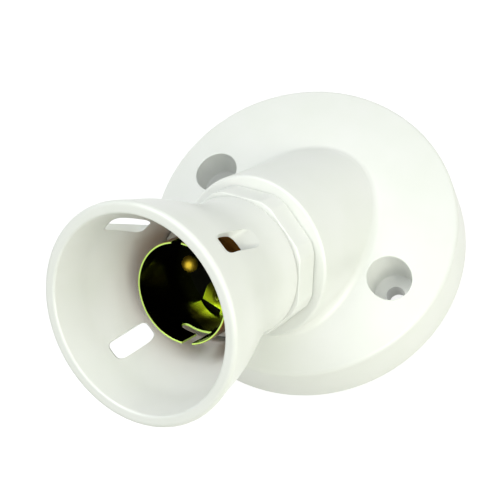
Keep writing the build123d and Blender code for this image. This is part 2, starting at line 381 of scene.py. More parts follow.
def principled(tree: Tree, values: Mapping[str, object]) -> None:
    """Close a material's tree with one surface shader.

    Args:
        tree: Node tree that gets the shader.
        values: A value or a socket for each input of the shader.
    """
    shader = add_node(tree, "ShaderNodeBsdfPrincipled", inputs=values)
    add_node(tree, "ShaderNodeOutputMaterial", inputs={"Surface": shader.outputs["BSDF"]})


def stained(tree: Tree, place: Socket, size: float, tones: tuple[str, str]) -> Socket:
    """Cloudy stain between two tones, with clouds of a size in millimetres."""
    return tinted(tree, noise(tree, place, per_metre(size), 5.0), STAIN_STOPS, tones)


def worn_and_highlit_edges(tree: Tree, width: float) -> Socket:
    """Value that is one at edges and zero on faces: edges that handling keeps bright, and a painted
    highlight on the pressed brass's edges.
    """
    surface = add_node(tree, "ShaderNodeNewGeometry").outputs["Normal"]
    level = vector_step(tree, "DOT_PRODUCT", soft_normal(tree, width, 8), surface)
    return spread(tree, level.outputs["Value"], EDGE_LEVELS, (1.0, 0.0))


def metal_surface(
    tree: Tree, colour: Socket, along: Socket, mark_size: Corner, roughness: Point, edge_round: float
) -> None:
    """Close a metal's tree with fine marks that run along or around the spout.

    Args:
        tree: Node tree of the metal.
        colour: Colour of its surface.
        along: Place in the spout's own axes.
        mark_size: Size of the marks along each axis.
        roughness: Roughness between and on the marks.
        edge_round: Rounding of its edges.
    """
    depth, strength = 0.01, 0.3
    inputs = {"Vector": along, "Scale": tuple(per_metre(size) for size in mark_size)}
    marks_at = add_node(tree, "ShaderNodeMapping", inputs=inputs).outputs["Vector"]
    marks = noise(tree, marks_at, 1.0, 3.0)
    principled(tree, {
        "Base Color": colour, "Roughness": spread(tree, marks, NOISE_MIDDLE, roughness), "Metallic": 1.0,
        "Normal": bumped(tree, marks, depth, strength, soft_normal(tree, edge_round, 4))})


# Finishes


@dataclass(frozen=True)
class UreaMoulding:
    """Glossy white urea-formaldehyde, compression moulded in a polished steel tool."""

    name: str
    edge_round: float
    tones: tuple[str, str] = ("#E7E9E5", "#EAEBE9")
    mottle_size: float = 12.0
    mottle_stops: Point = (0.32, 0.66)
    ripple_size: float = 3.0
    ripple_depth: float = 0.02
    ripple_strength: float = 0.08
    smudge_size: float = 7.0
    roughness: Point = (0.285, 0.33)
    refraction: float = 1.56

    def material(self) -> Material:
        """Build the material.

        Returns:
            A cream-white, slightly mottled plastic with a faint moulded ripple and soft edges.
        """
        # Filler and flow leave a faint cream mottle, and the tool's polish leaves a very shallow ripple
        material, tree = blank_material(self.name)
        place = add_node(tree, "ShaderNodeTexCoord").outputs["Object"]
        mottle = noise(tree, place, per_metre(self.mottle_size), 2.0)
        smudge = noise(tree, place, per_metre(self.smudge_size), 3.0)
        ripple = noise(tree, place, per_metre(self.ripple_size), 2.0)
        edge = soft_normal(tree, self.edge_round, 6) if self.edge_round > 0 else None
        principled(tree, {
            "Base Color": tinted(tree, mottle, self.mottle_stops, self.tones),
            "Roughness": spread(tree, smudge, NOISE_MIDDLE, self.roughness), "IOR": self.refraction,
            "Normal": bumped(tree, ripple, self.ripple_depth, self.ripple_strength, edge)})
        return material


@dataclass(frozen=True)
class PhenolicMoulding:
    """Black phenolic with mineral filler, moulded with a satin skin."""

    tones: tuple[str, str] = ("#050505", "#0E0E0E")
    filler_size: float = 0.35
    filler_stops: Point = (0.45, 0.75)
    filler_depth: float = 0.02
    filler_strength: float = 0.4
    edge_round: float = 0.15
    roughness: Point = (0.5, 0.65)
    refraction: float = 1.6
    sheen: float = 0.12

    def material(self) -> Material:
        """Build the material.

        Returns:
            A near-black plastic with fine grey filler specks and a satin sheen.
        """
        # Ground filler shows as fine grey specks under the satin skin
        material, tree = blank_material("black phenolic moulding")
        place = add_node(tree, "ShaderNodeTexCoord").outputs["Object"]
        specks = noise(tree, place, per_metre(self.filler_size), 3.0)
        edge = soft_normal(tree, self.edge_round, 4)
        principled(tree, {
            "Base Color": tinted(tree, specks, self.filler_stops, self.tones),
            "Roughness": spread(tree, specks, (0.0, 1.0), self.roughness), "IOR": self.refraction,
            "Specular IOR Level": self.sheen,
            "Normal": bumped(tree, specks, self.filler_depth, self.filler_strength, edge)})
        return material


@dataclass(frozen=True)
class Metal:
    """A bare or plated metal with stain, drawn or turned marks, edges that handling keeps bright, and
    painted shade below a set height along the spout.
    """

    name: str
    layout: Layout
    stain_tones: tuple[str, str]
    worn_tone: str
    stain_size: float
    mark_size: Corner
    roughness: Point
    # Below this height along the spout the colour fades to a dark painted shade tone, for the shade on a
    # plunger's stem in the socket
    shade_below: float = -1000.0
    shade_fade: float = 0.8
    shade_tone: str = "#3A3218"
    edge_round: float = 0.08
    bright_edge_width: float = 0.3

    def material(self) -> Material:
        """Build the material.

        Returns:
            A metal whose fine marks run along or around the spout, with cloudy stain between them and
            painted shade below a set height.
        """
        # Drawing, turning and plating leave fine marks, handling leaves cloudy stain between them, and below
        # a set height the colour fades to painted shade
        material, tree = blank_material(self.name)
        place = add_node(tree, "ShaderNodeTexCoord").outputs["Object"]
        along = along_spout(tree, self.layout, place)
        # Painted shade: darker below a set height along the spout
        shade_end = self.shade_below + self.shade_fade
        bright = spread(tree, height_of(tree, along), (self.shade_below * MM, shade_end * MM))
        tint = stained(tree, place, self.stain_size, self.stain_tones)
        shaded_tint = blend(tree, bright, linear(self.shade_tone), tint)
        colour = blend(tree, worn_and_highlit_edges(tree, self.bright_edge_width), shaded_tint, linear(self.worn_tone))
        metal_surface(tree, colour, along, self.mark_size, self.roughness, self.edge_round)
        return material


@dataclass(frozen=True)
class PressedBrass:
    """Deep-drawn sheet brass: a painted highlight where the tool cut it and on its edges, brown outside and
    painted shade on its inner wall.
    """

    layout: Layout
    floor_tones: tuple[str, str] = ("#949E38", "#AEB84A")
    # Bright tone of the painted highlight on the cut faces and the edges
    highlight_tone: str = "#CFF07C"
    # Dark tone of the painted shade on the inner wall
    inside_shade_tone: str = "#2E2A10"
    outside_tone: str = "#A06A22"
    side_fade: Point = (0.4, 0.8)
    stain_size: float = 6.0
    draw_size: Corner = (0.25, 0.25, 6.0)
    roughness: Point = (0.12, 0.18)
    plate_height: float = 1.6
    plate_fade: float = 0.4
    # Where the painted shade on the inner wall starts above the floor, and the height over which it deepens
    shade_start: float = 2.0
    shade_rise: float = 3.4
    edge_round: float = 0.08
    bright_edge_width: float = 0.4

    def material(self) -> Material:
        """Build the material.

        Returns:
            A brass whose tone follows the side of the sheet and the height above the socket's floor.
        """
        # Draw marks run along the sleeve, cut faces and edges get a painted highlight, and the inner wall
        # fades to painted shade towards the mouth
        material, tree = blank_material("pressed brass")
        texture = add_node(tree, "ShaderNodeTexCoord")
        place = texture.outputs["Object"]
        along = along_spout(tree, self.layout, place)
        facing = add_node(tree, "ShaderNodeMapping", {"vector_type": "VECTOR"}, {
            "Vector": texture.outputs["Normal"], "Rotation": self.layout.upright})
        across = vector_step(tree, "MULTIPLY", along, (1.0, 1.0, 0.0))
        outwards = vector_step(tree, "NORMALIZE", across.outputs["Vector"])
        side = vector_step(tree, "DOT_PRODUCT", facing.outputs["Vector"], outwards.outputs["Vector"])
        outer = spread(tree, side.outputs["Value"], self.side_fade)
        inner = spread(tree, side.outputs["Value"], (-self.side_fade[0], -self.side_fade[1]))
        reach = height_of(tree, along)
        plate = self.layout.floor + self.plate_height
        shade_from = self.layout.floor + self.shade_start
        wall_shade = spread(tree, reach, (shade_from * MM, (shade_from + self.shade_rise) * MM))
        clear = spread(tree, reach, (plate * MM, (plate + self.plate_fade) * MM))
        tint = stained(tree, place, self.stain_size, self.floor_tones)
        # Faces that look neither in nor out, above the lug plates, take the painted highlight tone
        cut = blend(tree, clear, tint, linear(self.highlight_tone))
        # The inner wall darkens into painted shade away from the floor
        wall = blend(tree, wall_shade, tint, linear(self.inside_shade_tone))
        sheet = blend(tree, outer, blend(tree, inner, cut, wall), linear(self.outside_tone))
        # Edges take the painted highlight tone as well
        colour = blend(tree, worn_and_highlit_edges(tree, self.bright_edge_width), sheet, linear(self.highlight_tone))
        metal_surface(tree, colour, along, self.draw_size, self.roughness, self.edge_round)
        return material


# Mesh helpers


def arc(start: float, sweep: float, steps: int) -> list[Point]:
    """Cosine and sine at even steps of an arc, both ends included."""
    angles = [start + sweep * step / steps for step in range(steps + 1)]
    return [(math.cos(angle), math.sin(angle)) for angle in angles]


def circle(radius: float, height: float, segments: int, middle: float = 0.0) -> list[Vector]:
    """Ring of points about an upright axis.

    Args:
        radius: Radius of the ring, where nothing gives a single point.
        height: Height of the ring.
        segments: Divisions of the ring.
        middle: Where the axis stands along X.

    Returns:
        The points.
    """
    if radius < TINY:
        return [Vector((middle, 0, height))]
    angles = [math.tau * number / segments for number in range(segments)]
    return [Vector((middle + radius * math.cos(a), radius * math.sin(a), height)) for a in angles]


def rectangle(length: float, width: float) -> list[Point]:
    """Outline of a rectangle about the origin."""
    x, y = length / 2, width / 2
    return [(-x, -y), (x, -y), (x, y), (-x, y)]


def unit(start: Point, end: Point) -> Vector:
    """Direction from one point of a section to another."""
    return (Vector(end) - Vector(start)).normalized()


def section(corners: Sequence[Corner], closed: bool, longest: float = 4.0, steps: int = 8) -> list[Point]:
    """Round the corners of a section and divide its runs.

    Args:
        corners: Radius, height and rounding of each corner, in order.
        closed: Whether the last corner joins the first one.
        longest: Longest run that isn't divided.
        steps: Divisions of each rounding.

    Returns:
        The points of the section.
    """
    path: list[Point] = []
    for number, (radius, height, rounding) in enumerate(corners):
        here = Vector((radius, height))
        if rounding <= 0 or (not closed and number in (0, len(corners) - 1)):
            path.append((radius, height))
            continue
        back = unit(corners[number][:2], corners[number - 1][:2])
        ahead = unit(corners[number][:2], corners[(number + 1) % len(corners)][:2])
        half = back.angle(ahead) / 2
        centre = here + (back + ahead).normalized() * rounding / math.sin(half)
        first = here + back * rounding / math.tan(half) - centre
        turn = (math.pi - 2 * half) * (1 if first.y * back.x - first.x * back.y > 0 else -1)
        for step in range(steps + 1):
            spoke = first.copy()
            spoke.rotate(Matrix.Rotation(turn * step / steps, 2))
            path.append(tuple(centre + spoke))
    return divided(path, closed, longest)


def divided(path: Sequence[Point], closed: bool, longest: float) -> list[Point]:
    """Divide the long runs of a section and put a short run beside each of their ends.

    Args:
        path: Points of the section.
        closed: Whether the last point joins the first one.
        longest: Longest run that isn't divided.

    Returns:
        The points with the added ones between them.
    """
    beside = 0.15
    result: list[Point] = []
    ends = list(path[1:]) + ([path[0]] if closed else [])
    for start, end in zip(path, ends):
        result.append(start)
        length = (Vector(end) - Vector(start)).length
        if length > 4 * beside:
            count = max(1, math.ceil(length / longest))
            shares = [beside / length] + [n / count for n in range(1, count)] + [1 - beside / length]
            result.extend(tuple(Vector(start).lerp(Vector(end), share)) for share in shares)
    if not closed:
        result.append(path[-1])
    return result


def flare(start: Point, start_slope: float, end: Point, end_slope: float, steps: int = 28) -> list[Point]:
    """Smooth flare between two points of a section, without its end points.

    Args:
        start: Radius and height of the lower end.
        start_slope: Growth of the radius per height at the lower end.
        end: Radius and height of the upper end.
        end_slope: Growth of the radius per height at the upper end.
        steps: Divisions of the flare.

    Returns:
        The points between both ends.
    """
    third = (end[1] - start[1]) / 3
    handles = (
        Vector(start),
        Vector((start[0] + start_slope * third, start[1] + third)),
        Vector((end[0] - end_slope * third, end[1] - third)),
        Vector(end),
    )
    points = []
    for step in range(1, steps):
        share = step / steps
        rest = 1 - share
        weights = (rest ** 3, 3 * rest ** 2 * share, 3 * rest * share ** 2, share ** 3)
        pulls = (handle * weight for handle, weight in zip(handles, weights))
        points.append(tuple(sum(pulls, Vector((0, 0)))))
    return points


@contextmanager
def editing(mesh: Mesh) -> Iterator[bmesh.types.BMesh]:
    """Open a mesh for edits, then turn its faces outwards and store it.

    Args:
        mesh: Mesh that is changed.

    Yields:
        The mesh in its editable form.
    """
    shape = bmesh.new()
    shape.from_mesh(mesh)
    yield shape
    bmesh.ops.recalc_face_normals(shape, faces=shape.faces)
    shape.to_mesh(mesh)
    shape.free()


def linked(name: str, data: bpy.types.ID) -> Item:
    """Give a mesh, a lamp or a camera an object in the scene."""
    item = bpy.data.objects.new(name, data)
    bpy.context.scene.collection.objects.link(item)
    return item


def grid_mesh(name: str, rings: Sequence[Sequence[Vector]], closed: bool) -> Mesh:
    """Mesh between rings of points, with a ring of one point as a pole.

    Args:
        name: Name of the mesh.
        rings: Points of each ring.
        closed: Whether the last ring joins the first one.

    Returns:
        The mesh.
    """
    places: list[Vector] = []
    numbers: list[range] = []
    for ring in rings:
        numbers.append(range(len(places), len(places) + len(ring)))
        places.extend(ring)
    width = max(len(ring) for ring in rings)
    faces = []
    for low, high in zip(numbers, numbers[1:] + (numbers[:1] if closed else [])):
        for start in range(width):
            end = (start + 1) % width
            below = (low[start % len(low)], low[end % len(low)])
            above = (high[end % len(high)], high[start % len(high)])
            face = tuple(dict.fromkeys(below + above))
            if len(face) > 2:
                faces.append(face)
    mesh = bpy.data.meshes.new(name)
    mesh.from_pydata(places, [], faces)
    return mesh


def solid(mesh: Mesh, place: Matrix | None = None) -> Item:
    """Put a closed mesh in its place, turn its faces outwards and give it an object.

    Args:
        mesh: Closed mesh in millimetres.
        place: Where it goes, in millimetres.

    Returns:
        The object, linked to the scene.
    """
    with editing(mesh) as shape:
        bmesh.ops.remove_doubles(shape, verts=shape.verts, dist=SAME_PLACE)
        if place is not None:
            bmesh.ops.transform(shape, matrix=place, verts=shape.verts)
    return linked(mesh.name, mesh)


def turned(
    name: str, points: Sequence[Point], closed: bool, segments: int = 192, place: Matrix | None = None
) -> Item:
    """Solid of revolution about its own Z axis.

    Args:
        name: Name of the object.
        points: Radius and height of each point of the section.
        closed: Whether the section is a closed loop that stays off the axis.
        segments: Divisions round the axis.
        place: Where the solid goes, in millimetres.

    Returns:
        The object.
    """
    rings = [circle(radius, height, segments) for radius, height in points]
    return solid(grid_mesh(name, rings, closed), place)


def rod(name: str, radius: float, low: float, high: float, segments: int, place: Matrix) -> Item:
    """Plain round rod along its own Z axis.

    Args:
        name: Name of the object.
        radius: Radius of the rod.
        low: Height of its bottom.
        high: Height of its top.
        segments: Divisions round the axis.
        place: Where the rod goes, in millimetres.

    Returns:
        The object.
    """
    corners = [(0, low, 0), (radius, low, 0), (radius, high, 0), (0, high, 0)]
    return turned(name, section(corners, False), False, segments, place)


def prism(
    name: str, outline: Sequence[Point], low: float, high: float, place: Matrix | None = None
) -> Item:
    """Straight prism on an outline in its own XY plane.

    Args:
        name: Name of the object.
        outline: Corners of the outline.
        low: Height of its bottom.
        high: Height of its top.
        place: Where the solid goes, in millimetres.

    Returns:
        The object.
    """
    count = len(outline)
    places = [Vector((x, y, z)) for z in (low, high) for x, y in outline]
    faces = [tuple(range(count)), tuple(range(count, 2 * count))]
    faces += [(n, (n + 1) % count, count + (n + 1) % count, count + n) for n in range(count)]
    mesh = bpy.data.meshes.new(name)
    mesh.from_pydata(places, [], faces)
    return solid(mesh, place)


def bake(item: Item) -> None:
    """Replace an object's mesh by what its modifiers make of it, and remove them."""
    bpy.context.view_layer.update()
    evaluated = item.evaluated_get(bpy.context.evaluated_depsgraph_get())
    mesh = bpy.data.meshes.new_from_object(evaluated)
    item.modifiers.clear()
    item.data = mesh


def weld(mesh: Mesh) -> None:
    """Close up the hair-thin faces and the slits that cutting leaves in a mesh."""
    with editing(mesh) as shape:
        bmesh.ops.remove_doubles(shape, verts=shape.verts, dist=WELD)
        bmesh.ops.dissolve_degenerate(shape, edges=shape.edges, dist=WELD)
        slits = [edge for edge in shape.edges if edge.is_boundary]
        bmesh.ops.holes_fill(shape, edges=slits, sides=SLIT_SIDES)


def combine(item: Item, others: Sequence[Item], joining: Joining) -> None:
    """Combine a solid with other solids, and drop them.

    Args:
        item: Solid that changes.
        others: Solids that are added to it, cut out of it or met with it.
        joining: Which of the three is done.
    """
    for other in others:
        modifier = item.modifiers.new(other.name, "BOOLEAN")
        modifier.operation = joining.value
        modifier.solver = "EXACT"
        modifier.object = other
    bake(item)
    weld(item.data)
    for other in others:
        bpy.data.objects.remove(other)


def merged(name: str, items: Sequence[Item]) -> Item:
    """Join closed shells into one object.

    Args:
        name: Name of the object.
        items: Objects whose shells are joined, and which are dropped.

    Returns:
        The object.
    """
    mesh = bpy.data.meshes.new(name)
    shape = bmesh.new()
    for item in items:
        shape.from_mesh(item.data)
        bpy.data.objects.remove(item)
    shape.to_mesh(mesh)
    shape.free()
    return linked(name, mesh)


# Geometry Nodes helpers


def geometry_tree(name: str, sockets: Mapping[str, str]) -> tuple[Tree, Node]:
    """Start a Geometry Nodes tree with a geometry, a finish and further inputs, and one output.

    Args:
        name: Name of the tree.
        sockets: Socket type of each further input, by name.

    Returns:
        The tree and its input node.
    """
    tree = bpy.data.node_groups.new(name, "GeometryNodeTree")
    every = {"Geometry": "Geometry", **sockets, "Finish": "Material"}
    for label, kind in every.items():
        tree.interface.new_socket(label, in_out="INPUT", socket_type=f"NodeSocket{kind}")
    tree.interface.new_socket("Geometry", in_out="OUTPUT", socket_type="NodeSocketGeometry")
    return tree, add_node(tree, "NodeGroupInput")


def copies(tree: Tree, points: Socket, shape: Socket, turn: Socket) -> Socket:
    """Copies of an object at points, as one mesh.

    Args:
        tree: Geometry Nodes tree that gets the nodes.
        points: Where the copies go.
        shape: Object that is copied.
        turn: Euler turn of each copy.

    Returns:
        The mesh.
    """
    info = add_node(tree, "GeometryNodeObjectInfo", inputs={"Object": shape})
    rotation = add_node(tree, "FunctionNodeEulerToRotation", inputs={"Euler": turn})
    placed = add_node(tree, "GeometryNodeInstanceOnPoints", inputs={
        "Points": points, "Instance": info.outputs["Geometry"], "Rotation": rotation.outputs["Rotation"]})
    inputs = {"Geometry": placed.outputs["Instances"]}
    return add_node(tree, "GeometryNodeRealizeInstances", inputs=inputs).outputs["Geometry"]


def close_tree(tree: Tree, given: Node, geometry: Socket) -> None:
    """Set the finish on a tree's geometry and hand it out.

    Args:
        tree: Geometry Nodes tree to close.
        given: Its input node.
        geometry: Geometry that it hands out.
    """
    finish = add_node(tree, "GeometryNodeSetMaterial", inputs={
        "Geometry": geometry, "Material": given.outputs["Finish"]})
    add_node(tree, "NodeGroupOutput", inputs={"Geometry": finish.outputs["Geometry"]})


def grow(item: Item, tree: Tree, values: Mapping[str, object]) -> None:
    """Run a Geometry Nodes tree on an object and keep the plain mesh.

    Args:
        item: Object whose mesh goes in.
        tree: Tree that is run.
        values: Value of each named input.
    """
    modifier = item.modifiers.new(tree.name, "NODES")
    modifier.node_group = tree
    for socket in tree.interface.items_tree:
        if socket.in_out == "INPUT" and socket.name in values:
            modifier[socket.identifier] = values[socket.name]
    bake(item)


# Sub-assemblies


@dataclass
class Piece:
    """One finished piece and what it stands for."""

    item: Item
    body: str
    slot: Slot
    nodes: tuple[str, ...]
    place: Matrix = field(default_factory=lambda: Matrix.Identity(4))
    sharp_angle: float = 38.0

    def settle(self, material: Material) -> None:
        """Bring the piece to metres, smooth it, give it its finish and hand it to the frame.

        Args:
            material: Finish of the whole piece.
        """
        mesh = self.item.data
        mesh.transform(Matrix.Scale(MM, 4) @ self.place)
        mesh.shade_smooth()
        mesh.set_sharp_from_angle(angle=math.radians(self.sharp_angle))
        mesh.materials.clear()
        mesh.materials.append(material)
        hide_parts(*self.nodes)
        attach(self.item, self.body)
        LOG.info("%s stands for %s, %d faces", self.item.name, ", ".join(self.nodes), len(mesh.polygons))


@dataclass
class AngledBody:
    """Base, spout and threaded nose in one white moulding, hollow from behind."""

    layout: Layout
    back_r: float = 36.7
    draft: float = 0.4
    edge_height: float = 12.8
    dome_rise: float = 6.4
    edge_round: float = 1.2
    foot_r: float = 17.9
    end_r: float = 19.1
    end_round: float = 0.7
    bore_round: float = 0.8
    foot_round: float = 2.4
    fillet_least: float = 0.12
    fillet_ends: Point = (-49.5, 229.5)
    fillet_fade: float = 9.0
    fillet_sunk: float = 0.8
    relief_r: float = 17.55
    fixing_centres: float = 50.8
    hole_r: float = 2.15
    counterbore_r: float = 5.05
    counterbore_floor: float = 5.1
    floor_round: float = 0.4
    boss_wall: float = 2.2
    mouth_round: float = 0.3
    mouth_sunk: float = 0.02
    pocket: tuple[float, float, float, float] = (17.1, 10.1, 4.6, 7.0)
    pocket_wall: float = 1.5
    pocket_y: float = 26.3
    wire_hole_r: float = 1.5
    web_grip: float = 0.6
    stem_slot: Point = (11.1, 4.7)
    rivet_hole_r: float = 1.25
    thread_pitch: float = 2.4
    thread_depth: float = 0.7
    thread_crest: float = 0.6
    thread_start: float = 0.6
    thread_lead: float = 1.2
    nose_chamfer: float = 0.6

    @property
    def front_r(self) -> float:
        """Radius of the base at its front edge."""
        return self.back_r - self.draft

    @property
    def dome_r(self) -> float:
        """Radius of the sphere that the domed front lies on."""
        return (self.front_r ** 2 + self.dome_rise ** 2) / (2 * self.dome_rise)

    @property
    def sphere_middle(self) -> float:
        """Height of that sphere's middle."""
        return self.edge_height + self.dome_rise - self.dome_r

    def dome_height(self, radius: float) -> float:
        """Height of the domed front at a distance from the middle."""
        return self.sphere_middle + math.sqrt(self.dome_r ** 2 - radius ** 2)

    def pan(self, name: str, inset: float) -> Item:
        """Solid round pan with a domed front.

        Args:
            name: Name of the object.
            inset: How far it lies inside the outer surface.

        Returns:
            The pan, open nowhere.
        """
        edge = self.front_r - inset
        bottom = -OVERCUT if inset else 0.0
        corners = [(0, bottom, 0), (self.back_r - inset, bottom, 0)]
        corners.append((edge, self.dome_height(edge) - inset, self.edge_round))
        rings = 24
        for number in range(rings - 1, -1, -1):
            radius = (edge - self.edge_round) * number / rings
            corners.append((radius, self.dome_height(radius) - inset, 0))
        return turned(name, section(corners, False, longest=5.0), False, segments=224)

    def spout_solid(self) -> Item:
        """Outside of the spout as a solid, cut off inside the base.

        Returns:
            The solid.
        """
        length = self.layout.spout_length
        corners = [(0, 0, 0), (self.foot_r, 0, 0), (self.end_r, length, self.end_round), (0, length, 0)]
        points = section(corners, False, longest=3.0, steps=10)
        item = turned("spout", points, False, 224, self.layout.spout)
        with editing(item.data) as shape:
            everything = shape.verts[:] + shape.edges[:] + shape.faces[:]
            cut = bmesh.ops.bisect_plane(
                shape, geom=everything, plane_co=(0, 0, OVERCUT), plane_no=(0, 0, 1), clear_inner=True)
            rim = [part for part in cut["geom_cut"] if isinstance(part, bmesh.types.BMEdge)]
            bmesh.ops.edgenet_fill(shape, edges=rim)
        return item

    def foot_fillet(self) -> Item:
        """Blend between the spout and the domed front, as a ball rolling along both would leave it.

        Returns:
            A closed sliver that is sunk into both surfaces.
        """
        spout = self.layout.spout
        foot = spout.translation
        across, up, along = (spout.col[n].to_3d() for n in range(3))
        growth = (self.end_r - self.foot_r) / self.layout.spout_length
        taper = math.atan(growth)
        sphere = Vector((0, 0, self.sphere_middle))
        first, last = (math.radians(angle) for angle in self.fillet_ends)
        count, parts = 220, 20
        rings = []
        for number in range(count + 1):
            share = number / count
            fade = min(1.0, self.fillet_fade * share, self.fillet_fade * (1 - share))
            ball = self.fillet_least + (self.foot_round - self.fillet_least) * math.sin(fade * math.pi / 2)
            sunk = ball + self.fillet_sunk
            angle = first + (last - first) * share
            outwards = across * math.cos(angle) + up * math.sin(angle)
            away = self.foot_r + ball * math.cos(taper)
            start = foot - along * ball * math.sin(taper) + outwards * away - sphere
            step = along + outwards * growth
            half = start.dot(step) / step.length_squared
            rest = (start.length_squared - (self.dome_r + ball) ** 2) / step.length_squared
            centre = start + step * (math.sqrt(half ** 2 - rest) - half)
            spout_side = -(outwards * math.cos(taper) - along * math.sin(taper))
            dome_side = -centre.normalized()
            turn = spout_side.angle(dome_side)
            arms = [spout_side * sunk]
            for part in range(parts + 1):
                lead = part / parts
                arm = spout_side * math.sin((1 - lead) * turn) + dome_side * math.sin(lead * turn)
                arms.append(arm / math.sin(turn) * ball)
            arms += [dome_side * sunk, (spout_side + dome_side).normalized() * sunk]
            rings.append([sphere + centre + arm for arm in arms])
        mesh = grid_mesh("foot_fillet", rings, False)
        with editing(mesh) as shape:
            shape.verts.ensure_lookup_table()
            width = len(rings[0])
            shape.faces.new(shape.verts[:width])
            shape.faces.new(shape.verts[-width:])
        return solid(mesh)

    def nose(self) -> Item:
        """Nose with a rounded helical thread, sunk into the spout's end.

        Returns:
            The nose as a closed tube.
        """
        layout = self.layout
        back, front = layout.spout_length - OVERCUT, layout.nose_end
        rows, segments = 130, 128
        rings = []
        for row in range(rows + 1):
            height = back + (front - back) * row / rows
            begun = (height - layout.spout_length - self.thread_start) / self.thread_lead
            runout = min(1.0, max(0.0, begun))
            ring = []
            for number in range(segments):
                angle = math.tau * number / segments
                wave = 0.5 + 0.5 * math.cos(math.tau * (height / self.thread_pitch - number / segments))
                drop = self.thread_depth * (1 - wave ** self.thread_crest) * runout
                drop += max(0.0, height - (front - self.nose_chamfer))
                radius = layout.nose_r - drop
                ring.append(Vector((radius * math.cos(angle), radius * math.sin(angle), height)))
            rings.append(ring)
        rings += [circle(layout.nose_bore_r, height, segments) for height in (front, back)]
        return solid(grid_mesh("nose", rings, True), layout.spout)

    def web(self) -> Item:
        """Web across the nose, with the stem's slot and the rivet holes.

        Returns:
            The web as a closed plate.
        """
        layout = self.layout
        low, high = layout.web_back - OVERCUT, layout.web_front + OVERCUT
        web_r = layout.nose_bore_r + self.web_grip
        item = rod("web", web_r, layout.web_back, layout.web_front, 128, layout.spout)
        half_length, half_width = self.stem_slot
        outline = []
        count = 48
        for number in range(count):
            angle = math.tau * (number + 0.5) / count
            shift = (half_length - half_width) * (1 if math.cos(angle) > 0 else -1)
            outline.append((shift + half_width * math.cos(angle), half_width * math.sin(angle)))
        cutters = [prism("stem_slot", outline, low, high, layout.spout)]
        for side in (-1, 1):
            place = layout.spout @ Matrix.Translation((0, side * layout.rivet_out, 0))
            cutters.append(rod("rivet_hole", self.rivet_hole_r, low, high, 32, place))
        combine(item, cutters, Joining.CUT)
        return item

    def hole_cutter(self, side: int) -> Item:
        """Counterbored hole with a rounded mouth that follows the domed front.

        Args:
            side: Minus one for the hole at -X, one for the other.

        Returns:
            The solid to cut away.
        """
        middle = side * self.fixing_centres / 2
        floor, bend = self.counterbore_floor, self.floor_round
        inner = self.counterbore_r - bend
        above, segments = 2.0, 96
        fixed = [(0, -OVERCUT), (self.hole_r, -OVERCUT), (self.hole_r, floor), (inner, floor)]
        fixed += [(inner + bend * out, floor + bend - bend * up) for up, out in arc(0, QUARTER, 5)[1:]]
        rings = [circle(radius, height, segments, middle) for radius, height in fixed]
        mouth = []
        for across, up in arc(0, QUARTER, 8):
            radius = self.counterbore_r + self.mouth_round * (1 - across)
            mouth.append((radius, -self.mouth_round * (1 - up) - self.mouth_sunk))
        mouth.append((self.counterbore_r + self.mouth_round, above))
        for radius, height in mouth:
            ring = circle(radius, 0, segments, middle)
            for spot in ring:
                spot.z = self.dome_height(spot.length) + height
            rings.append(ring)
        rings.append([Vector((middle, 0, self.dome_height(abs(middle)) + above))])
        return solid(grid_mesh("fixing_hole", rings, False))

    def pocket_block(self, name: str, length: float, width: float, low: float, high: float) -> Item:
        """Block at the loop terminal's place.

        Args:
            name: Name of the object.
            length: Size along X.
            width: Size along Y.
            low: Height of its bottom.
            high: Height of its top.

        Returns:
            The block.
        """
        place = Matrix.Translation((0, self.pocket_y, 0))
        return prism(name, rectangle(length, width), low, high, place)

    def build(self) -> list[Piece]:
        """Make the moulding.

        Returns:
            The piece.
        """
        layout = self.layout
        length, wall = layout.spout_length, layout.shell_wall
        body = self.pan("pan", 0.0)
        combine(body, [self.spout_solid()], Joining.ADD)
        bore_end = layout.web_front + OVERCUT
        bore = [(0, 0, 0), (self.foot_r - wall, 0, 0), (self.end_r - wall, length - wall, self.bore_round),
                (layout.nose_bore_r, length - wall, 0), (layout.nose_bore_r, bore_end, 0), (0, bore_end, 0)]
        combine(body, [
            rod("ring_room", self.relief_r, length, layout.skirt_start, 160, layout.spout),
            self.pan("hollow", wall),
            turned("bore", section(bore, False), False, 160, layout.spout),
        ], Joining.CUT)
        boss_r = self.counterbore_r + self.boss_wall
        apex = self.dome_height(0)
        added = []
        for side in (-1, 1):
            place = Matrix.Translation((side * self.fixing_centres / 2, 0, 0))
            added.append(rod("boss", boss_r, 0, apex, 96, place))
        pocket_x, pocket_w, mouth_z, depth = self.pocket
        added.append(self.pocket_block("pocket", pocket_x, pocket_w, mouth_z, apex))
        for block in added:
            combine(block, [self.pan("mid_wall", wall / 2)], Joining.COMMON)
        combine(body, added, Joining.ADD)
        inside_x, inside_w = pocket_x - 2 * self.pocket_wall, pocket_w - 2 * self.pocket_wall
        low = mouth_z - OVERCUT
        wire_top = mouth_z + depth / 2 + self.wire_hole_r
        combine(body, [
            self.hole_cutter(-1),
            self.hole_cutter(1),
            self.pocket_block("pocket_inside", inside_x, inside_w, low, mouth_z + depth),
            self.pocket_block("wire_way", pocket_x + OVERCUT, 2 * self.wire_hole_r, low, wire_top),
        ], Joining.CUT)
        moulding = merged("body_moulding", [body, self.foot_fillet(), self.nose(), self.web()])
        return [Piece(moulding, "holder", Slot.WHITE, ("angled_body",))]


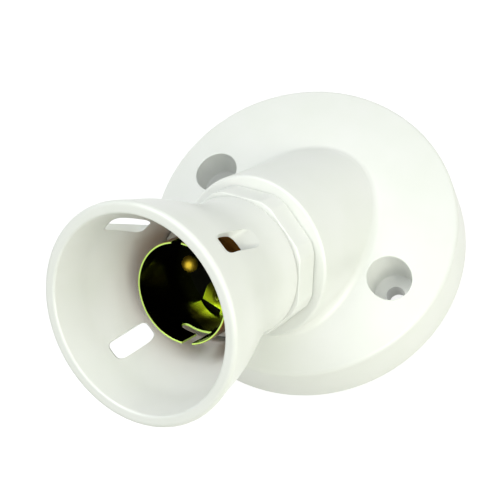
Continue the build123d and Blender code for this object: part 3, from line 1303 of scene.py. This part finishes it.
@dataclass
class ShadeRing:
    """White threaded ring with flats, which clamps a shade against the skirt."""

    layout: Layout
    outer_r: float = 16.95
    apothem: float = 16.2
    flats: int = 8
    corner_angle: float = 39.4
    edge: float = 0.3
    beside_edge: float = 0.15
    bore_edge: float = 0.2
    per_flat: int = 36
    sharp_angle: float = 14.0

    def rim_r(self, angle: float) -> float:
        """Radius of the outside at an angle from the first corner."""
        pitch = math.tau / self.flats
        from_flat = (angle - math.radians(self.corner_angle)) % pitch - pitch / 2
        return min(self.outer_r, self.apothem / math.cos(from_flat))

    def build(self) -> list[Piece]:
        """Make the ring.

        Returns:
            The piece.
        """
        low, high = self.layout.ring_start, self.layout.ring_start + self.layout.ring_height
        bore, bevel, edge = self.layout.thread_r, self.bore_edge, self.edge
        bends = arc(0, QUARTER, 5)
        rim = [(edge * (1 - up), low + edge * (1 - across)) for across, up in bends]
        rim += [(0, low + edge + self.beside_edge), (0, high - edge - self.beside_edge)]
        rim += [(edge * (1 - across), high - edge * (1 - up)) for across, up in bends]
        count = self.flats * self.per_flat
        first = math.radians(self.corner_angle)
        angles = [first + math.tau * number / count for number in range(count)]
        loop = [([bore] * count, low + bevel), ([bore + bevel] * count, low)]
        loop += [([self.rim_r(angle) - inset for angle in angles], height) for inset, height in rim]
        loop += [([bore + bevel] * count, high), ([bore] * count, high - bevel)]
        rings = []
        for radii, height in loop:
            rings.append([Vector((r * math.cos(a), r * math.sin(a), height)) for r, a in zip(radii, angles)])
        item = solid(grid_mesh("shade_ring_moulding", rings, True))
        return [Piece(item, "ring", Slot.WHITE, ("shade_ring",), self.layout.spout, self.sharp_angle)]


@dataclass
class Skirt:
    """White flared skirt with four vent slots, screwed on the nose."""

    layout: Layout
    neck_r: float = 16.05
    neck_length: float = 4.0
    neck_round: float = 0.4
    length: float = 37.6
    mouth_r: float = 25.3
    mouth_bore_r: float = 22.3
    lip_round: float = 1.0
    edge_round: float = 0.6
    rim_length: float = 9.9
    rim_slope: float = 0.237
    thread_length: float = 11.2
    thread_round: float = 0.3
    bell_r: float = 21.2
    bell_length: float = 9.5
    bell_slope: float = 0.147
    throat_slope: float = 0.28
    slots: int = 4
    slot_angle: float = 65.5
    slot_width: float = 4.8
    slot_floor_r: float = 16.9
    slot_end_r: float = 21.0
    slot_end_length: float = 10.4
    slot_corner: float = 1.1

    def outside(self) -> Item:
        """Skirt before its slots are cut, about its own axis.

        Returns:
            The solid.
        """
        start = self.layout.skirt_start
        mouth = start + self.length
        flare_start = start + self.neck_length
        rim_start = mouth - self.rim_length
        rim_r = self.mouth_r - self.rim_slope * self.rim_length
        bell_start = mouth - self.bell_length
        throat = start + self.thread_length
        thread_r = self.layout.thread_r
        rise = flare((self.neck_r, flare_start), 0, (rim_r, rim_start), self.rim_slope)
        bell = flare((thread_r, throat), self.throat_slope, (self.bell_r, bell_start), self.bell_slope)
        corners = [(thread_r, start, self.thread_round), (self.neck_r, start, self.neck_round)]
        corners.append((self.neck_r, flare_start, 0))
        corners += [(r, h, 0) for r, h in rise]
        corners += [(rim_r, rim_start, 0), (self.mouth_r, mouth, self.lip_round)]
        corners += [(self.mouth_bore_r, mouth, self.edge_round), (self.bell_r, bell_start, 0)]
        corners += [(r, h, 0) for r, h in reversed(bell)]
        corners.append((thread_r, throat, 0))
        return turned("skirt_moulding", section(corners, True, longest=1.5), True, segments=256)

    def slot_cutter(self) -> Item:
        """Cutter for one slot at the angle of the X axis, with rounded corners.

        Returns:
            The solid.
        """
        low = self.layout.skirt_start - OVERCUT
        end = self.layout.skirt_start + self.length - self.slot_end_length
        top = self.mouth_r + self.edge_round + OVERCUT
        front = end - (self.slot_end_r - self.slot_floor_r)
        outline = [(self.slot_floor_r, low), (self.slot_floor_r, front),
                   (top, front + top - self.slot_floor_r), (top, low)]
        stand = Matrix(((1, 0, 0, 0), (0, 0, -1, 0), (0, 1, 0, 0), (0, 0, 0, 1)))
        item = prism("slot_cutter", outline, -self.slot_width / 2, self.slot_width / 2, stand)
        with editing(item.data) as shape:
            edges = []
            for line in shape.edges:
                ends = [corner.co for corner in line.verts]
                on_side = abs(ends[0].y - ends[1].y) < TINY
                on_floor = min(spot.x for spot in ends) < self.slot_floor_r + TINY
                if on_side and on_floor and abs(ends[0].z - ends[1].z) > OVERCUT:
                    edges.append(line)
            bmesh.ops.bevel(
                shape, geom=edges, offset=self.slot_corner, segments=5, profile=0.5, affect="EDGES")
        return item

    def build(self, material: Material) -> list[Piece]:
        """Make the skirt, with its slots spaced by Geometry Nodes.

        Args:
            material: Finish that the node tree sets.

        Returns:
            The piece.
        """
        tree, given = geometry_tree("vent slots", {
            "Cutter": "Object", "Slots": "Int", "First Angle": "Float"})
        spots = add_node(tree, "GeometryNodePoints", inputs={"Count": given.outputs["Slots"]})
        number = add_node(tree, "GeometryNodeInputIndex")
        pitch = add_node(tree, "ShaderNodeMath", {"operation": "DIVIDE"}, {
            0: math.tau, 1: given.outputs["Slots"]})
        angle = add_node(tree, "ShaderNodeMath", {"operation": "MULTIPLY_ADD"}, {
            0: number.outputs["Index"], 1: pitch.outputs["Value"], 2: given.outputs["First Angle"]})
        turn = add_node(tree, "ShaderNodeCombineXYZ", inputs={"Z": angle.outputs["Value"]})
        cutters = copies(tree, spots.outputs[0], given.outputs["Cutter"], turn.outputs["Vector"])
        cut = add_node(tree, "GeometryNodeMeshBoolean", {"operation": "DIFFERENCE", "solver": "EXACT"}, {
            "Mesh 1": given.outputs["Geometry"], "Mesh 2": cutters})
        close_tree(tree, given, cut.outputs["Mesh"])
        item, tool = self.outside(), self.slot_cutter()
        grow(item, tree, {"Cutter": tool, "Slots": self.slots, "Finish": material,
                          "First Angle": math.radians(self.slot_angle)})
        bpy.data.objects.remove(tool)
        return [Piece(item, "skirt", Slot.WHITE, ("skirt",), self.layout.spout)]


@dataclass
class BayonetSocket:
    """Pressed brass sleeve with two J-slots and two lugs, held by hollow rivets."""

    layout: Layout
    length: float = 18.4
    bend_round: float = 0.15
    mouth_round: float = 0.2
    slot_width: float = 2.65
    entry_angle: float = -64.2
    slot_turn: float = 24.0
    slot_depth: float = 8.0
    leg_width: float = 2.4
    slot_corner: float = 0.5
    cutter_half: float = 3.0
    lug_half: float = 3.8
    lug_edge_out: float = 10.1
    lug_neck: float = 2.4
    rivet_r: float = 1.2
    rivet_bore_r: float = 0.7
    flange_r: float = 1.7
    flange: float = 0.4
    tail_round: float = 0.15
    front_round: float = 0.2
    rim_round: float = 0.18
    seat_round: float = 0.1
    earth_tab: float = 0.8

    @property
    def front(self) -> float:
        """Mouth of the sleeve along the spout."""
        return self.layout.floor + self.length

    @property
    def mean_r(self) -> float:
        """Radius of the middle of the sleeve's wall."""
        return self.layout.sleeve_r - self.layout.sleeve_wall / 2

    def slot_cutter(self, side: float) -> Item:
        """Cutter for one J-slot, straight through the wall.

        Args:
            side: Angle that is added to the entry's angle.

        Returns:
            The solid.
        """
        high, deep = self.front + 2 * OVERCUT, self.front - self.slot_depth
        middle = math.radians(self.entry_angle + side - self.slot_turn / 2)
        half_turn = math.radians(self.slot_turn / 2)
        entry_x, rest_x = self.mean_r * math.sin(half_turn), -self.mean_r * math.sin(half_turn)
        half, corner, leg_r = self.slot_width / 2, self.slot_corner, self.leg_width / 2
        outline: list[Point] = [(entry_x + half, high), (entry_x + half, deep + corner)]
        for across, up in arc(0, QUARTER, 6):
            outline.append((entry_x + half - corner * (1 - across), deep + corner * (1 - up)))
        for across, up in arc(QUARTER, math.pi, 16):
            outline.append((rest_x + leg_r * across, deep + leg_r - leg_r * up))
        outline += [(entry_x - half, deep + self.leg_width), (entry_x - half, high)]
        out = Vector((math.cos(middle), math.sin(middle), 0))
        aside = Vector((-math.sin(middle), math.cos(middle), 0))
        place = Matrix((aside, Vector((0, 0, 1)), out)).transposed().to_4x4()
        low, top = self.mean_r - self.cutter_half, self.mean_r + self.cutter_half
        return prism("jslot_cutter", outline, low, top, place)

    def lug(self, side: int) -> Item:
        """Lug across the sleeve's back end, joined to the wall by a neck at one corner.

        Args:
            side: One for the upper lug, minus one for the lower one.

        Returns:
            The plate.
        """
        layout, half, edge = self.layout, self.lug_half, self.lug_edge_out
        ends = arc(math.pi, math.pi, 24)
        outline = [(half * across, layout.rivet_out + half * up) for across, up in ends]
        outline += [(half, edge), (self.lug_neck - half, edge)]
        outline += [(x, math.sqrt(self.mean_r ** 2 - x ** 2)) for x in (self.lug_neck - half, -half)]
        turn = Matrix.Rotation(0 if side > 0 else math.pi, 4, "Z")
        return prism("lug", outline, layout.floor, layout.floor + layout.sleeve_wall, turn)

    def rivet(self, name: str, side: int, tail: float) -> Item:
        """Hollow rivet with a rolled front and a flared tail.

        Args:
            name: Name of the object.
            side: One for the upper rivet, minus one for the lower one.
            tail: Where the plates end that it holds.

        Returns:
            The rivet.
        """
        seat = self.layout.floor + self.layout.sleeve_wall
        back, front = tail - self.flange, seat + self.flange
        corners = [
            (self.rivet_bore_r, back, self.tail_round), (self.flange_r, back, self.rim_round),
            (self.flange_r, tail, self.seat_round), (self.rivet_r, tail, 0), (self.rivet_r, seat, 0),
            (self.flange_r, seat, self.seat_round), (self.flange_r, front, self.rim_round),
            (self.rivet_bore_r, front, self.front_round),
        ]
        shift = Matrix.Translation((0, side * self.layout.rivet_out, 0))
        return turned(name, section(corners, True, longest=2.0, steps=5), True, 48, shift)

    def build(self) -> list[Piece]:
        """Make the sleeve and the rivets.

        Returns:
            The pieces.
        """
        layout = self.layout
        inner = layout.sleeve_r - layout.sleeve_wall
        corners = [(inner, layout.floor, 0), (layout.sleeve_r, layout.floor, self.bend_round),
                   (layout.sleeve_r, self.front, self.mouth_round), (inner, self.front, self.mouth_round)]
        sleeve = turned("sleeve", section(corners, True, longest=2.0, steps=5), True, 192)
        combine(sleeve, [self.slot_cutter(0.0), self.slot_cutter(180.0)], Joining.CUT)
        pressing = merged("sleeve_pressing", [sleeve, self.lug(1), self.lug(-1)])
        lower = self.rivet("rivet_lower", -1, layout.web_back - self.earth_tab)
        upper = self.rivet("rivet_upper", 1, layout.web_back)
        return [
            Piece(pressing, "holder", Slot.BRASS, ("bayonet_sleeve",), layout.spout),
            Piece(lower, "holder", Slot.BRASS, ("lug_rivet_lower",), layout.spout),
            Piece(upper, "holder", Slot.BRASS, ("lug_rivet_upper",), layout.spout),
        ]


class Pole(Enum):
    """The two contacts, by the side of the spout's axis that each lies on."""

    LIVE = 1
    NEUTRAL = -1


@dataclass
class Contacts:
    """Sprung brass plungers with their coil springs."""

    layout: Layout
    plunger_r: float = 1.9
    reach: float = 8.5
    collar_edge: float = 0.15
    wire: float = 0.6
    turns: float = 8.5
    coil_steps: int = 40
    wire_steps: int = 12
    sharp_angle: float = 60.0

    def plunger(self, pole: Pole) -> Piece:
        """Turned plunger with a domed tip and a collar.

        Args:
            pole: Which contact it belongs to.

        Returns:
            The piece.
        """
        layout, radius, edge = self.layout, self.plunger_r, self.collar_edge
        tip = layout.floor + self.reach
        corners = [
            (0, layout.collar_back, 0), (layout.collar_r, layout.collar_back, edge),
            (layout.collar_r, layout.collar_front, edge), (radius, layout.collar_front, 0),
            (radius, tip - radius, 0),
        ]
        dome = arc(0, QUARTER, 16)[1:-1]
        corners += [(radius * across, tip - radius * (1 - up), 0) for across, up in dome]
        corners.append((0, tip, 0))
        name = pole.name.lower()
        shift = Matrix.Translation((pole.value * layout.contact_offset, 0, 0))
        item = turned(f"plunger_turning_{name}", section(corners, False, 2.0, 5), False, 64, shift)
        return Piece(item, f"{name}_plunger", Slot.BRASS, (f"plunger_{name}",), layout.spout)

    def spring_tree(self) -> Tree:
        """Geometry Nodes tree of a coil spring: a spiral swept with round wire.

        Returns:
            The tree.
        """
        tree, given = geometry_tree("coil spring", {
            "Coil Radius": "Float", "Wire Radius": "Float", "Turns": "Float", "Height": "Float",
            "Start": "Vector"})
        coil_r = given.outputs["Coil Radius"]
        coil = add_node(tree, "GeometryNodeCurveSpiral", inputs={
            "Resolution": self.coil_steps, "Rotations": given.outputs["Turns"], "Start Radius": coil_r,
            "End Radius": coil_r, "Height": given.outputs["Height"]})
        wire = add_node(tree, "GeometryNodeCurvePrimitiveCircle", inputs={
            "Resolution": self.wire_steps, "Radius": given.outputs["Wire Radius"]})
        swept = add_node(tree, "GeometryNodeCurveToMesh", inputs={
            "Curve": coil.outputs["Curve"], "Profile Curve": wire.outputs["Curve"], "Fill Caps": True})
        placed = add_node(tree, "GeometryNodeTransform", inputs={
            "Geometry": swept.outputs["Mesh"], "Translation": given.outputs["Start"]})
        close_tree(tree, given, placed.outputs["Geometry"])
        return tree

    def spring(self, pole: Pole, tree: Tree, material: Material) -> Piece:
        """Coil spring behind a plunger's collar.

        Args:
            pole: Which contact it belongs to.
            tree: Geometry Nodes tree that sweeps the coil.
            material: Finish that the tree sets.

        Returns:
            The piece.
        """
        layout, wire_r = self.layout, self.wire / 2
        name = pole.name.lower()
        item = solid(bpy.data.meshes.new(f"spring_coil_{name}"))
        low, high = layout.spring_back + wire_r, layout.collar_back - wire_r
        grow(item, tree, {
            "Coil Radius": layout.collar_r - wire_r, "Wire Radius": wire_r, "Turns": self.turns,
            "Height": high - low, "Start": (pole.value * layout.contact_offset, 0.0, low),
            "Finish": material})
        nodes = (f"plunger_spring_{name}",)
        return Piece(item, "holder", Slot.SPRING, nodes, layout.spout, self.sharp_angle)

    def squeeze(self, spring: Piece) -> None:
        """Give a settled spring a mesh of its own.

        Args:
            spring: The spring, after it is settled.
        """
        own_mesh(spring.item)


@dataclass
class ClampScrews:
    """Plated cheese-head screws of the five terminals, one shape repeated by Geometry Nodes."""

    layout: Layout
    radius: float = 1.2
    head_r: float = 2.2
    head: float = 1.8
    shank: float = 3.0
    tip_round: float = 0.25
    seat_round: float = 0.1
    head_round: float = 0.35
    slot_width: float = 0.6
    slot_depth: float = 0.7
    barrel_r: float = 3.3
    barrel_screw: float = 23.55
    earth_seat: Point = (-10.05, 33.0)
    loop_y: float = 26.3
    loop_z: float = 4.6
    loop_spacing: float = 7.6

    def screw(self) -> Item:
        """One screw: the head stands up from its own XY plane, the shank goes down.

        Returns:
            The screw.
        """
        corners = [(0, -self.shank, 0), (self.radius, -self.shank, self.tip_round), (self.radius, 0, 0),
                   (self.head_r, 0, self.seat_round), (self.head_r, self.head, self.head_round),
                   (0, self.head, 0)]
        item = turned("clamp_screw", section(corners, False, 2.0, 5), False, 40)
        outline = rectangle(2 * self.head_r + OVERCUT, self.slot_width)
        slot = prism("screw_slot", outline, self.head - self.slot_depth, self.head + OVERCUT)
        combine(item, [slot], Joining.CUT)
        return item

    def seats(self) -> Item:
        """Points where the screws sit, each with its turn.

        Returns:
            An object of loose points with a turn attribute.
        """
        layout = self.layout
        places: list[Matrix] = []
        facing = Matrix.Rotation(math.radians(90), 4, "X")
        for pole in Pole:
            spot = (pole.value * layout.contact_offset, -self.barrel_r - layout.fit, self.barrel_screw)
            places.append(layout.spout @ Matrix.Translation(spot) @ facing)
        places.append(layout.spout @ Matrix.Translation((0, *self.earth_seat)) @ facing)
        for side in (-1, 1):
            spot = (side * self.loop_spacing / 2, self.loop_y, self.loop_z)
            places.append(Matrix.Translation(spot) @ Matrix.Rotation(math.pi, 4, "X"))
        mesh = bpy.data.meshes.new("clamp_screws")
        mesh.from_pydata([place.translation for place in places], [], [])
        turns = mesh.attributes.new("seat_turn", "FLOAT_VECTOR", "POINT")
        for value, place in zip(turns.data, places):
            value.vector = place.to_euler()
        return linked("clamp_screws", mesh)

    def build(self, material: Material) -> list[Piece]:
        """Make all five screws as one piece.

        Args:
            material: Finish that the node tree sets.

        Returns:
            The piece.
        """
        tree, given = geometry_tree("clamp screws", {"Screw": "Object"})
        turn = add_node(
            tree, "GeometryNodeInputNamedAttribute", {"data_type": "FLOAT_VECTOR"}, {"Name": "seat_turn"})
        screws = copies(
            tree, given.outputs["Geometry"], given.outputs["Screw"], turn.outputs["Attribute"])
        close_tree(tree, given, screws)
        item, shape = self.seats(), self.screw()
        grow(item, tree, {"Screw": shape, "Finish": material})
        bpy.data.objects.remove(shape)
        nodes = ("terminal_screw_live", "terminal_screw_neutral", "earth_screw",
                 "loop_screw_left", "loop_screw_right")
        return [Piece(item, "holder", Slot.PLATED, nodes)]


# Studio


@dataclass(frozen=True)
class SoftBox:
    """Square area lamp that faces a point."""

    name: str
    place: Corner
    power: float
    tone: str
    aim: Corner = (0.0, -0.01, 0.03)
    size: float = 0.6

    def build(self) -> None:
        """Hang the lamp."""
        lamp = bpy.data.lights.new(self.name, "AREA")
        lamp.shape = "SQUARE"
        lamp.size = self.size
        lamp.energy = self.power
        lamp.color = linear(self.tone)[:3]
        turn = (Vector(self.place) - Vector(self.aim)).to_track_quat("Z", "Y")
        item = linked(self.name, lamp)
        item.matrix_world = Matrix.Translation(self.place) @ turn.to_matrix().to_4x4()


@dataclass(frozen=True)
class Studio:
    """Plain pale floor, white surroundings and soft lamps."""

    boxes: tuple[SoftBox, ...] = (
        SoftBox("overhead softbox", (0.05, 0.04, 1.03), 1.8, "#F6F8FF"),
        SoftBox("high key softbox", (0.75, -0.11, 0.68), 4.6, "#FDFFEE"),
        SoftBox("low key softbox", (0.94, -0.01, 0.38), 2.2, "#FFFEF8"),
        SoftBox("fill softbox", (-0.50, -0.01, 0.90), 5.1, "#FCFFFC"),
    )
    white: str = "#FFFFFF"
    ambient: str = "#F9FFF9"
    ambient_strength: float = 0.3
    floor_size: float = 6.0
    floor_tone: str = "#DADBD2"
    shadow_tone: str = "#8C8C8C"
    floor_glow: float = 0.86

    def seen_directly(self, tree: Tree) -> Socket:
        """Light Path value that is one for camera, glossy and transmission rays.

        Args:
            tree: Node tree that gets the nodes.

        Returns:
            The value.
        """
        path = add_node(tree, "ShaderNodeLightPath")
        value = path.outputs["Is Camera Ray"]
        for kind in ("Is Glossy Ray", "Is Transmission Ray"):
            either = add_node(tree, "ShaderNodeMath", {"operation": "MAXIMUM"}, {
                0: value, 1: path.outputs[kind]})
            value = either.outputs["Value"]
        return value

    def build(self) -> None:
        """Light the surroundings, lay the floor and hang the lamps."""
        world = bpy.data.worlds.new("white studio")
        world.use_nodes = True
        tree = world.node_tree
        tree.nodes.clear()
        around = add_node(tree, "ShaderNodeBackground", inputs={
            "Color": linear(self.ambient), "Strength": self.ambient_strength})
        white = add_node(tree, "ShaderNodeBackground", inputs={"Color": linear(self.white), "Strength": 1.0})
        choice = add_node(tree, "ShaderNodeMixShader", inputs={
            0: self.seen_directly(tree), 1: around.outputs["Background"], 2: white.outputs["Background"]})
        add_node(tree, "ShaderNodeOutputWorld", inputs={"Surface": choice.outputs["Shader"]})
        bpy.context.scene.world = world
        self.lay_floor()
        for box in self.boxes:
            box.build()

    def lay_floor(self) -> None:
        """Lay a pale floor that shows white and keeps the object's shadow."""
        mesh = bpy.data.meshes.new("studio_floor")
        corners = [(x, y, -MM) for x, y in rectangle(self.floor_size, self.floor_size)]
        mesh.from_pydata(corners, [], [(0, 1, 2, 3)])
        floor = linked("studio_floor", mesh)
        # White paper glows for the camera, and its grey part takes the object's shadow
        material, tree = blank_material("pale paper floor")
        paper = add_node(tree, "ShaderNodeBsdfDiffuse", inputs={"Color": linear(self.floor_tone)})
        shadow = add_node(tree, "ShaderNodeBsdfDiffuse", inputs={"Color": linear(self.shadow_tone)})
        glow = add_node(tree, "ShaderNodeEmission", inputs={
            "Color": linear(self.white), "Strength": self.floor_glow})
        white = add_node(tree, "ShaderNodeAddShader", inputs={
            0: glow.outputs["Emission"], 1: shadow.outputs["BSDF"]})
        choice = add_node(tree, "ShaderNodeMixShader", inputs={
            0: self.seen_directly(tree), 1: paper.outputs["BSDF"], 2: white.outputs["Shader"]})
        add_node(tree, "ShaderNodeOutputMaterial", inputs={"Surface": choice.outputs["Shader"]})
        mesh.materials.append(material)


@dataclass(frozen=True)
class PhotoCamera:
    """Camera at the photograph's place, in millimetres and degrees."""

    place: Corner = (175.72, -109.80, 445.67)
    aim: Corner = (-4.592, -12.717, 20.0)
    roll: float = -27.0845
    lens: float = 147.51
    sensor: float = 36.0
    near: float = 0.01
    far: float = 20.0

    def build(self) -> None:
        """Set up the camera and make it the scene's own."""
        data = bpy.data.cameras.new("photo camera")
        data.lens = self.lens
        data.sensor_width = self.sensor
        data.clip_start = self.near
        data.clip_end = self.far
        place = Vector(self.place)
        back = (place - Vector(self.aim)).normalized()
        level = Vector((0, 0, 1)).cross(back).normalized()
        rise = back.cross(level)
        roll = math.radians(self.roll)
        right = level * math.cos(roll) + rise * math.sin(roll)
        turn = Matrix((right, back.cross(right), back)).transposed()
        item = linked("photo camera", data)
        item.matrix_world = Matrix.Translation(place * MM) @ turn.to_4x4()
        bpy.context.scene.camera = item


def dress_nodes(nodes: Mapping[str, Item], finishes: Mapping[str, Material]) -> None:
    """Give the carried-over CAD nodes their finishes.

    Args:
        nodes: CAD objects by name.
        finishes: Material of each node that stays, by name.
    """
    for name, material in finishes.items():
        for slot in nodes[name].material_slots:
            slot.material = material
        LOG.info("%s keeps its shape, in %s", name, material.name)


def main() -> None:
    """Build every sub-assembly in order, then the camera and the studio."""
    logging.basicConfig(level=logging.INFO, format="%(name)s: %(message)s")
    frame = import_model()
    bpy.context.scene.view_settings.view_transform = "Standard"
    layout = Layout()
    white = UreaMoulding("white urea-formaldehyde moulding", 0.0).material()
    slotted = UreaMoulding("white urea-formaldehyde moulding with broken edges", 0.3).material()
    black = PhenolicMoulding().material()
    pressed = PressedBrass(layout).material()
    turning = (3.0, 3.0, 0.12)
    machined = Metal(
        "turned brass", layout, ("#B9982C", "#D6B83A"), "#DEC85C", 4.0, turning, (0.32, 0.45)).material()
    # The plungers take a lighter copy of the turned brass as painted light on the tips, with painted shade
    # on the stems below
    tipped = Metal(
        "turned brass with a rubbed tip", layout, ("#F4CC3C", "#FFDC48"), "#FFE878", 4.0, turning,
        (0.45, 0.55), shade_below=53.6).material()
    wire = Metal(
        "drawn spring steel", layout, ("#83827E", "#A9A9A6"), "#B4B4B2", 1.5, (0.3, 0.3, 0.3),
        (0.3, 0.4)).material()
    zinc = Metal(
        "zinc-plated steel", layout, ("#9C9FA3", "#BFC1C2"), "#CBCDCE", 1.2, (0.15, 0.15, 0.15),
        (0.3, 0.42)).material()

    for piece in AngledBody(layout).build() + ShadeRing(layout).build():
        piece.settle(white)
    for piece in Skirt(layout).build(slotted):
        piece.settle(slotted)
    for piece in BayonetSocket(layout).build():
        piece.settle(pressed)
    contacts = Contacts(layout)
    coil = contacts.spring_tree()
    for pole in Pole:
        contacts.plunger(pole).settle(tipped)
        spring = contacts.spring(pole, coil, wire)
        spring.settle(wire)
        contacts.squeeze(spring)
    for piece in ClampScrews(layout).build(zinc):
        piece.settle(zinc)
    dress_nodes(frame["nodes"], {
        "contact_insert": black,
        "contact_barrel_live": machined,
        "contact_barrel_neutral": machined,
        "earth_terminal": machined,
        "loop_terminal": machined,
    })
    PhotoCamera().build()
    Studio().build()


if __name__ == "__main__":
    main()
